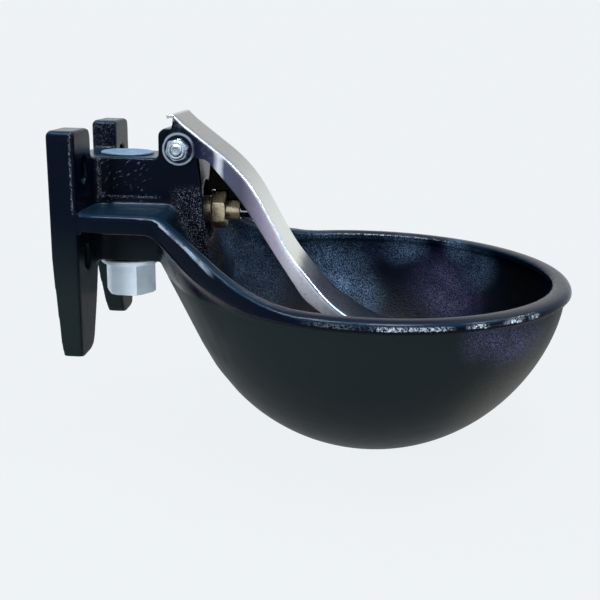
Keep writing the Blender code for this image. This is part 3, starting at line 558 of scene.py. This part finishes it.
def plastic(name, colour, shade, scale, relief, roughness=0.5, specular=0.4):
    """Moulded plastic or rubber: faint clouding, a mould-worn sheen and a very fine skin."""
    finish = Finish(bpy.data.materials.new(name))
    place = finish.node("ShaderNodeTexCoord", output="Object")
    cloud, skin = grain(place, scale, 3.0), grain(place, 2600.0)
    return coated(finish, {
        "Base Color": tinted(ramp(cloud, 0.38, 0.66), colour, shade),
        "Roughness": cloud * 0.16 + roughness, "Specular IOR Level": specular,
        "Normal": skin_bump(skin + cloud * 0.6, relief, 0.2)})


cap = lathe("inlet_cap_moulded",
            [(0.0, 32.55), (15.6, 32.7), (16.6, 32.7), (17.25, 32.5), (17.6, 32.1), (17.6, 31.5),
             (12.0, 31.5), (11.5, 20.0), (10.3, 20.0), (10.3, 30.7), (0.0, 30.7)],
            "Z", (PORT_X, 0, 0), bevel=0.2, sharp=50)
cap_plastic = plastic("pale_blue_plastic", rgb(120, 155, 187), rgb(104, 142, 176), 180.0, 0.25)
dressed(cap, "bowl", "pale_blue_plastic", cap_plastic, "inlet_cap")

flange_top = BLOCK_LOW_Z - PLAY - SEAL - PLAY
flange_low = flange_top - FLANGE
plug_end = flange_low - PLUG_HEXAGON
plug = lathe("blanking_plug_moulded",
             [(0.0, -26.0), (10.9, -26.0), (12.0, -27.0), (12.0, flange_top), (19.6, flange_top),
              (20.0, flange_top - 0.5), (20.0, flange_low + 0.6), (19.4, flange_low)]
             + hexagon_rows(30.6, 26.0, flange_low - 0.01, plug_end, 16.3)[1:]
             + [(9.0, plug_end), (8.4, plug_end + 0.8), (0.0, plug_end + 0.8)],
             "Z", (PORT_X, 0, 0), bevel=0.35, steps=180, sharp=30)
plug_plastic = plastic("white_plastic", rgb(222, 238, 252), rgb(208, 226, 242), 120.0, 0.3, 0.42)
dressed(plug, "bowl", "white_plastic", plug_plastic, "blanking_plug")


# Valve: a turned brass body is screwed into the block, with a gland nut that holds its stem.
# Behind it a spring, held by a pressed disc, pushes a rubber seal on a plunger against the
# seat. Only the nut, the stem's end and a fibre disc show, so only they are made anew.

VALVE_AXIS = (0, 0, -5.0)


def metal(name, colour, stain, roughness, scale, relief, stain_start=0.45, metallic=1.0):
    """Bare or plated metal: stains, uneven polish and fine tool marks."""
    finish = Finish(bpy.data.materials.new(name))
    place = finish.node("ShaderNodeTexCoord", output="Object")
    cloud, marks = grain(place, scale, 4.0, 0.65), grain(place, scale * 7)
    return coated(finish, {
        "Base Color": tinted(ramp(cloud, stain_start, stain_start + 0.25), colour, stain),
        "Roughness": ramp(marks, 0.3, 0.7, roughness, roughness + 0.16), "Metallic": metallic,
        "Normal": skin_bump(marks + cloud, relief, 0.2)})


def refinished(finishes):
    """Give solids that stay as they are a finish of their own."""
    for node, finish in finishes.items():
        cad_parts[node].material_slots[0].material = finish


brass = metal("brass", rgb(204, 192, 164), rgb(108, 94, 68), 0.2, 420.0, 0.15, 0.50, 0.78)
gland_nut = lathe("gland_nut_turned",
                  [(5.1, 85.3), (7.2, 85.0), (7.6, 85.4), (7.6, 92.0)]
                  + hexagon_rows(22.0, 30.0, 92.0, 100.7, 11.5)
                  + [(7.1, 100.7), (6.8, 101.0), (6.7, 101.6), (6.7, 109.4), (6.45, 110.1),
                     (5.9, 110.4), (5.3, 110.3), (5.1, 110.0)],
                  "X", VALVE_AXIS, closed=True, bevel=0.22, sharp=30)
dressed(gland_nut, "bowl", "brass", brass, "gland_nut")

steel = metal("stainless_steel", rgb(196, 198, 202), rgb(150, 152, 158), 0.2, 260.0, 0.12)
stem = lathe("valve_stem_turned",
             [(0.0, 60.4), (2.6, 60.4), (3.0, 60.8), (3.0, 88.0), (4.2, 90.0), (4.8, 90.6),
              (4.8, 126.2), (4.5, 127.2), (3.6, 128.1), (2.0, 128.5), (0.0, 128.6)],
             "X", VALVE_AXIS, bevel=0.15)
dressed(stem, "valve_slider", "stainless_steel", steel, "valve_stem")

fibre = plastic("red_fibre", rgb(112, 92, 74), rgb(84, 66, 50), 900.0, 0.6, 0.6)
gasket = lathe("valve_gasket_cut", [(8.0, 91.3), (13.2, 91.3), (13.4, 91.5), (13.2, 91.7), (8.0, 91.7)],
               "X", VALVE_AXIS, closed=True)
dressed(gasket, "bowl", "red_fibre", fibre, "valve_gasket")

rubber = plastic("black_rubber", rgb(8, 8, 9), rgb(17, 16, 15), 700.0, 0.5, 0.62, 0.08)
refinished({"valve_body": brass, "valve_plunger": brass, "valve_spring": steel, "spring_retainer": steel,
            "plug_seal": rubber, "stem_seal_ring": rubber, "valve_seal": rubber})


# Paddle: a stainless channel pressed from 2 mm sheet. It has a curled lip, a broad face that
# bends down into the bowl, and two flanges that end in round ears on the hinge bolt.

HINGE_X, HINGE_Z, PADDLE_HALF = 73.2, 37.7, 27.5
SHEET, BEND, LIP_BEND, EAR_R, EDGE_ROUND, EDGE_ANGLE = 2.0, 3.4, 0.6, 10.5, 0.3, 50
TIP_START_X, TIP_END_X, TIP_WIDE, TIP_ROUND = 209.5, 227.5, 28.0, 18.0
LIP_STEPS, FACE_STEPS, FLANK_STEPS = 8, 110, 6


def eased(points, reaches, steps=12):
    """A line whose corners are replaced by curves that start a reach before them."""
    result = []
    for i, (corner, length) in enumerate(zip(points, reaches)):
        here = Vector(corner)
        if not length:
            result.append(here)
            continue
        before = here + (Vector(points[i - 1]) - here).normalized() * length
        after = here + (Vector(points[i + 1]) - here).normalized() * length
        for k in range(steps + 1):
            t = k / steps
            result.append(before * (1 - t) ** 2 + here * 2 * t * (1 - t) + after * t ** 2)
    return result


def lengths(line):
    """Distance of each point from the start of a line."""
    total = [0.0]
    for a, b in zip(line, line[1:]):
        total.append(total[-1] + (b - a).length)
    return total


def spot_on(line, run, distance):
    """The point of a line at a distance from its start."""
    return Vector((np.interp(distance, run, [p.x for p in line]),
                   np.interp(distance, run, [p.y for p in line])))


face_line = eased([(65.6, 58.6), (69.5, 60.4), (76.6, 53.9), (116.7, 23.6), (147.5, -30.3),
                   (173.8, -61.4), (204.0, -81.2), (229.0, -88.5)],
                  (0, 3.5, 2.0, 20.0, 10.0, 12.0, 12.0, 0))
ear = [Vector((HINGE_X + EAR_R * math.cos(a), HINGE_Z + EAR_R * math.sin(a)))
       for a in map(math.radians, range(-215, -21, 5))]
flange_line = [Vector((71.0, 53.5))] + ear \
    + eased([(84.6, 32.4), (91.5, 31.6), (112.5, 7.6), (138.5, -32.1), (156.4, -58.9), (176.0, -73.5),
             (204.0, -85.5), (226.5, -90.0)], (0, 2.5, 12.0, 8.0, 6.0, 8.0, 8.0, 0), 8)
face_run, flange_run = lengths(face_line), lengths(flange_line)
face_end = face_run[-1]


def inward_at(distance, span):
    """Direction square to the paddle's face, to the side of its flanges."""
    ahead = spot_on(face_line, face_run, min(distance + span, face_end)) \
        - spot_on(face_line, face_run, max(distance - span, 0.0))
    return Vector((ahead.y, -ahead.x)).normalized()


def square_to_face(distance):
    """Where the line square to the paddle's face meets the flange's lower edge."""
    here, inward = spot_on(face_line, face_run, distance), inward_at(distance, 0.5)
    met = []
    for i in range(len(ear) + 1, len(flange_line) - 1):
        a, b = flange_line[i], flange_line[i + 1]
        turn = inward.x * (b - a).y - inward.y * (b - a).x
        if abs(turn) < 1e-9:
            continue
        share = (inward.y * (a - here).x - inward.x * (a - here).y) / turn
        depth = ((a - here).x * (b - a).y - (a - here).y * (b - a).x) / turn
        if 0 <= share <= 1 and depth > 0:
            met.append((depth, flange_run[i] + share * (b - a).length))
    return min(met)[1] if met else None


# Places on the face are paired with places on the flange's edge: the ear first, one by one,
# and past it square across
lip_end = next(d for p, d in zip(face_line, face_run) if p.x > 70.9)
pairs = [(lip_end, 0.0), (lip_end + 7, flange_run[len(ear) // 4]),
         (lip_end + 16, flange_run[len(ear) // 2]), (lip_end + 26, flange_run[len(ear)])]
distance = lip_end + 34
while distance < face_end - 3:
    met = square_to_face(distance)
    if met and met > pairs[-1][1]:
        pairs.append((distance, met))
    distance += 4
pairs.append((face_end, flange_run[-1]))


def half_outline(half, bend, drop, depth, steps):
    """One side of the sheet, from the paddle's middle line to the end of its bend."""
    flat = [((half - bend) * k / 4, depth) for k in range(5)]
    turns = [math.pi / 2 * k / steps for k in range(1, steps + 1)]
    return flat + [(half - bend + bend * math.sin(a), depth + drop * (1 - math.cos(a))) for a in turns]


sections = []
stations = [lip_end * k / LIP_STEPS for k in range(LIP_STEPS)] + [lip_end - 0.05]
stations += [lip_end + (face_end - lip_end) * k / FACE_STEPS for k in range(FACE_STEPS + 1)]
for distance in sorted(stations):
    here, inward = spot_on(face_line, face_run, distance), inward_at(distance, 0.4)
    bend, edge = LIP_BEND, here + inward * (SHEET + 0.15)
    if distance > lip_end - 0.01:
        bend, edge = BEND, spot_on(flange_line, flange_run, np.interp(distance, *zip(*pairs)))
    half = PADDLE_HALF
    if here.x > TIP_START_X:
        short = 1 - math.sqrt(max(TIP_END_X - here.x, 0.0) / TIP_ROUND)
        half = min(half, TIP_WIDE - TIP_ROUND * short ** 2)
    inner_bend = max(bend - SHEET, 0.1)
    outer = half_outline(half, bend, min(bend, (edge - here).length * 0.6), 0.0, 6)
    inner = half_outline(half - SHEET, inner_bend, inner_bend, SHEET, 3)
    rows = []
    for outline, wide in ((outer, half), (inner, half - SHEET)):
        row = [(here.x + inward.x * d, y, here.y + inward.y * d) for y, d in outline]
        start = Vector((row[-1][0], row[-1][2]))
        for k in range(1, FLANK_STEPS + 1):
            spot = start.lerp(edge, k / FLANK_STEPS)
            row.append((spot.x, wide, spot.y))
        rows.append([(x, -y, z) for x, y, z in reversed(row[1:])] + row)
    sections.append(rows[0] + rows[1][::-1])
paddle = skinned("paddle_pressed", sections, ends="folded")
softened(paddle, EDGE_ROUND, EDGE_ANGLE)
smoothed(paddle, EDGE_ANGLE)

pressed = Finish(bpy.data.materials.new("pressed_stainless"))
place = pressed.node("ShaderNodeTexCoord", output="Object")
along, height = (part / MM for part in parts_of(place, "XZ"))
facing = abs(parts_of(pressed.node("ShaderNodeNewGeometry", output="Normal"), "Y")[0])
flank = ramp(facing, 0.75, 0.97)
bend_highlight = ramp(facing, 0.28, 0.48) * (1 - ramp(facing, 0.62, 0.82))
drawn = pressed.node("ShaderNodeVectorMath", {"operation": "MULTIPLY"},
                     {0: place, 1: (0.25, 1.0, 0.25)})
streaks = grain(drawn, 900.0, 3.0, 0.6)
cloud = grain(place, 55.0, 3.0, 0.5)
bowl_reflection = ramp(along + cloud * 6, 152.5, 160)
lip = ramp(along, 71.2, 70.0) * ramp(height, 53.0, 54.5)
ear_reach = ((along - HINGE_X) ** 2 + (height - HINGE_Z) ** 2) ** 0.5
ear_rim_highlight = ramp(abs(ear_reach - 9.8), 1.1, 0.3) * ramp(along, 84, 80)
# Painted reflection: the face is painted darker at the top and paler further down, and dark blue with
# streaks where it dips into the bowl
face_colour = layered(tinted(ramp(along, 98, 142), rgb(140, 137, 134), rgb(214, 217, 211)), (
    (bowl_reflection, rgb(34, 48, 70)), (bowl_reflection * ramp(streaks, 0.50, 0.70) * 0.25, rgb(90, 108, 132))))

# The flanks are painted with a reflection that goes from dark at the ear, past a bright line, to pale at
# the foot
flank_reflection = pressed.node("ShaderNodeValToRGB", {"stops": [
    (0.000, rgb(26, 33, 48)), (0.150, rgb(26, 34, 52)), (0.235, rgb(58, 64, 86)),
    (0.264, rgb(214, 220, 234)), (0.280, rgb(200, 206, 224)), (0.300, rgb(84, 90, 112)),
    (0.400, rgb(88, 88, 108)), (0.500, rgb(132, 128, 150)), (0.600, rgb(170, 168, 190)),
    (0.700, rgb(212, 216, 232)), (0.860, rgb(204, 210, 226)), (1.000, rgb(130, 138, 160))]},
    {"Fac": (along + cloud * 4 - 70) / 115})
skin = layered(tinted(flank, face_colour, flank_reflection), (
    # Painted highlight round the ear's edge
    (flank * ear_rim_highlight * 0.7, rgb(176, 190, 208)),
    (lip, rgb(176, 180, 186)),
    # Painted highlight along the bends
    (bend_highlight, rgb(144, 160, 184)),
    (ramp(streaks, 0.5, 0.8, 0.0, 0.35), rgb(110, 112, 122))))
stainless_sheet = coated(pressed, {
    "Base Color": skin, "Metallic": 1 - flank * ramp(along, 112, 135) * 0.7,
    "Roughness": ramp(streaks, 0.3, 0.7, 0.26, 0.38), "Normal": skin_bump(streaks + cloud, 0.12, 0.3)})
dressed(paddle, "paddle_set", "stainless_steel", stainless_sheet, "paddle")


# Shade block: a block of black rubber sits in the channel over the valve, where the paddle's shade falls,
# and stands in for that shade. It straddles the stem, and moves with the paddle.

SHADE_BLOCK_TOP_Z, TOP_STEPS = 39.4, 16

under_line = eased([(76.6, 51.4), (115.4, 22.0), (145.8, -31.3)], (0, 20.0, 0))
under_run = lengths(under_line)
over_stem = ((89.8, 10.6), (103.2, 10.4), (104.4, 4.8), (111.6, 4.6), (111.8, 4.5), (112.4, 4.5))
near_cheek = ((89.8, 10.6), (103.2, 10.4), (104.4, 4.8), (111.6, 4.6), (111.8, -2.6), (112.4, -3.2))
far_cheek = ((90.6, 10.2), (90.6, 4.6), (94.2, 1.0), (94.8, -3.2), (111.6, -3.2), (112.4, -3.2))
rows = []
for y, outline in ((-12.5, near_cheek), (-7.4, near_cheek), (-7.4, over_stem),
                   (13.6, over_stem), (13.6, far_cheek), (16.4, far_cheek)):
    start, end = (float(np.interp(-level_z, [-p.y for p in under_line], under_run))
                  for level_z in (outline[-1][1], SHADE_BLOCK_TOP_Z))
    upper = [spot_on(under_line, under_run, start + (end - start) * k / TOP_STEPS)
             for k in range(TOP_STEPS + 1)]
    rows.append([(x, y, z) for x, z in outline] + [(p.x, y, p.y) for p in upper])
shade_block = skinned("paddle_shade_block", rows, ends="flat")
dressed(shade_block, "paddle_set", "black_rubber", rubber)


# Hinge: a zinc-plated M8 bolt runs through both ears and the block's boss, with nylon washers
# inside the ears. On the near end is a locking nut, whose collar grips a nylon ring.

HINGE_AXIS = (HINGE_X, 0, HINGE_Z)
FLATS, NUT_HEIGHT, HEAD_HEIGHT, WASHER = 13.0, 5.6, 5.3, 1.5
NUT_FACE = -PADDLE_HALF - PLAY
HEAD_FACE = WASHER - NUT_FACE
HEAD_END = HEAD_FACE + HEAD_HEIGHT

zinc = metal("zinc_plated_steel", rgb(160, 176, 192), rgb(88, 102, 120), 0.26, 420.0, 0.16)
collar = ((6.1, 5.6), (5.85, 5.8), (5.8, 6.2), (5.8, 7.2), (5.6, 7.75), (5.1, 8.0),
          (4.7, 7.95), (4.6, 7.7), (5.3, 7.65), (5.3, 5.7), (4.3, 5.6))
hinge_nut = lathe("hinge_nut_pressed",
                  [(4.3, NUT_FACE)] + hexagon_rows(FLATS, 15.0, NUT_FACE, NUT_FACE - NUT_HEIGHT, 6.9)
                  + [(radius, NUT_FACE - reach) for radius, reach in collar],
                  "Y", HINGE_AXIS, closed=True, bevel=0.12, sharp=32)
dressed(hinge_nut, "paddle_set", "zinc_plated_steel", zinc, "hinge_nut")

bolt_end = ((0.0, 8.2), (1.4, 8.15), (2.2, 8.6), (3.0, 8.6), (4.0, 7.7))
bolt = lathe("hinge_bolt_forged",
             [(radius, NUT_FACE - reach) for radius, reach in bolt_end] + [(4.0, HEAD_FACE)]
             + hexagon_rows(FLATS, 0.0, HEAD_FACE, HEAD_END, 6.6)
             + [(5.2, HEAD_END), (4.8, HEAD_END - 0.3), (0.0, HEAD_END - 0.3)],
             "Y", HINGE_AXIS, bevel=0.15, sharp=32)
dressed(bolt, "paddle_set", "zinc_plated_steel", zinc, "hinge_bolt")

nylon = plastic("nylon", rgb(204, 212, 222), rgb(186, 196, 208), 300.0, 0.3)
refinished({"nut_insert": nylon, "washer_near": nylon, "washer_far": nylon, "head_washer": zinc})
